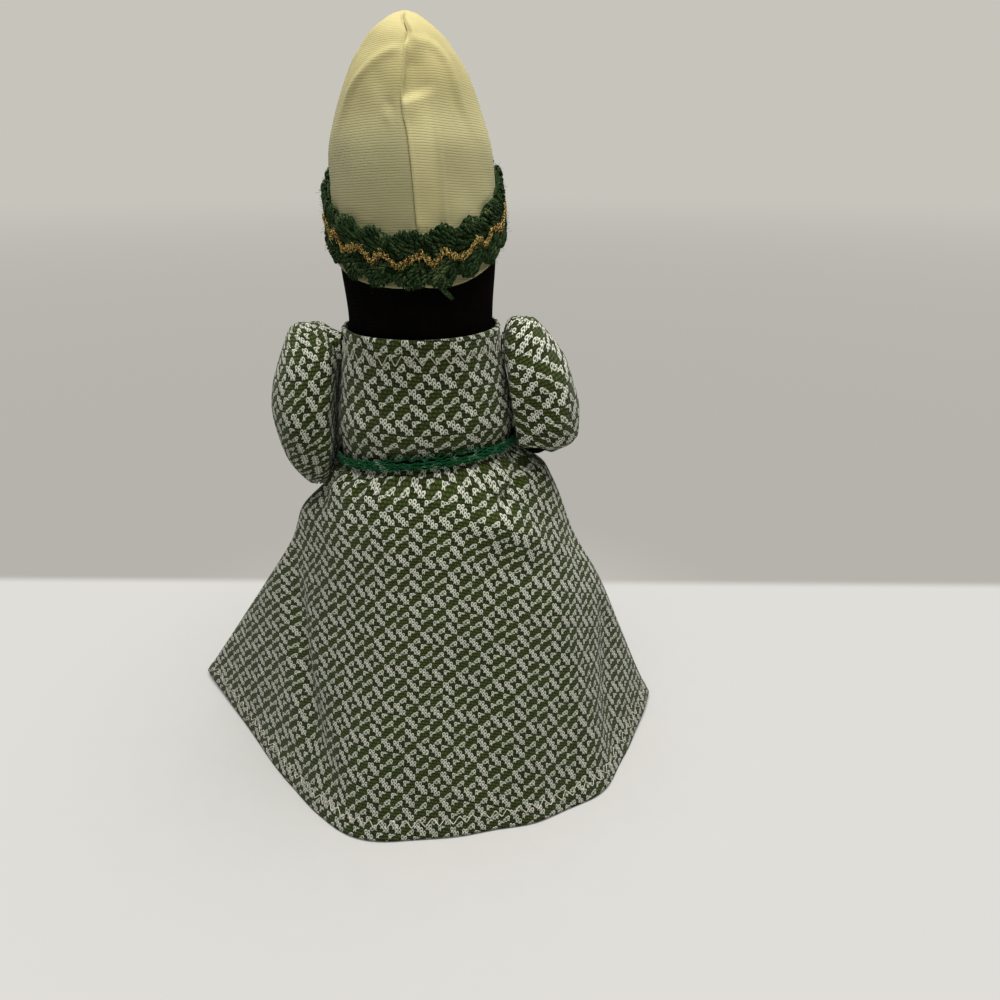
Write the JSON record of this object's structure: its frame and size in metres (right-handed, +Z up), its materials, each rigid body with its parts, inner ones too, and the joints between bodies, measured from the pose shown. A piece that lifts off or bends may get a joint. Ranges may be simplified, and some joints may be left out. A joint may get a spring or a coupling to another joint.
{
  "type": "cloth doll",
  "caption": "Stuffed cloth doll in a tall knit hat with crocheted trim, a corded puff-sleeved dress and a wide skirt that it stands on.",
  "frame": {"origin": "middle of the body's base, on the surface that the doll stands on", "axes": "+Z up along the body, the doll faces -Y, +X towards the doll's left hand"},
  "size_m": [0.2745, 0.2204, 0.352],
  "materials": {
    "black_cloth": "matte black woven cotton",
    "stuffing": "white polyester fill",
    "card": "plain grey-brown card",
    "dress_knit": "green and off-white double knit jacquard",
    "hat_knit": "pale yellow fine rib knit",
    "trim_yarn": "dark green fuzzy crochet yarn",
    "waist_yarn": "thin bluish green cord",
    "gold_thread": "metallic gold lurex thread",
    "face_thread": "cream embroidery thread"
  },
  "bodies": {
    "doll": {"body_cover": "black_cloth", "body_stuffing": "stuffing", "base_cover": "black_cloth", "base_card": "card", "head_cover": "black_cloth", "head_stuffing": "stuffing", "eye_stitch_left": "face_thread", "eye_stitch_right": "face_thread", "mouth_stitch": "face_thread", "dress_back": "dress_knit", "dress_front": "dress_knit", "waist_cord": "waist_yarn", "waist_knot": "waist_yarn"},
    "left_shoulder": {"shoulder_root_left": "black_cloth"},
    "left_arm": {"arm_left_cover": "black_cloth", "arm_left_stuffing": "stuffing", "sleeve_left": "dress_knit"},
    "right_shoulder": {"shoulder_root_right": "black_cloth"},
    "right_arm": {"arm_right_cover": "black_cloth", "arm_right_stuffing": "stuffing", "sleeve_right": "dress_knit"},
    "hat": {"hat_panel_left": "hat_knit", "hat_panel_right": "hat_knit", "trim_upper_row": "trim_yarn", "trim_lower_row": "trim_yarn", "gold_thread": "gold_thread", "trim_yarn_end": "trim_yarn"}
  },
  "joints": [
    {"name": "left_arm_swing", "type": "hinge", "parent": "doll", "child": "left_shoulder", "pos_m": [0.0467, 0, 0.212], "axis": [-1, 0, 0], "range_deg": [0, 40]},
    {"name": "left_arm_lift", "type": "hinge", "parent": "left_shoulder", "child": "left_arm", "pos_m": [0.0467, 0, 0.212], "axis": [0, -1, 0], "range_deg": [0, 50]},
    {"name": "right_arm_swing", "type": "hinge", "parent": "doll", "child": "right_shoulder", "pos_m": [-0.0467, 0, 0.212], "axis": [-1, 0, 0], "range_deg": [0, 40]},
    {"name": "right_arm_lift", "type": "hinge", "parent": "right_shoulder", "child": "right_arm", "pos_m": [-0.0467, 0, 0.212], "axis": [0, 1, 0], "range_deg": [0, 50]},
    {"name": "hat_pull", "type": "slide", "parent": "doll", "child": "hat", "axis": [0, 0, 1], "range_m": [0, 0.12]}
  ]
}
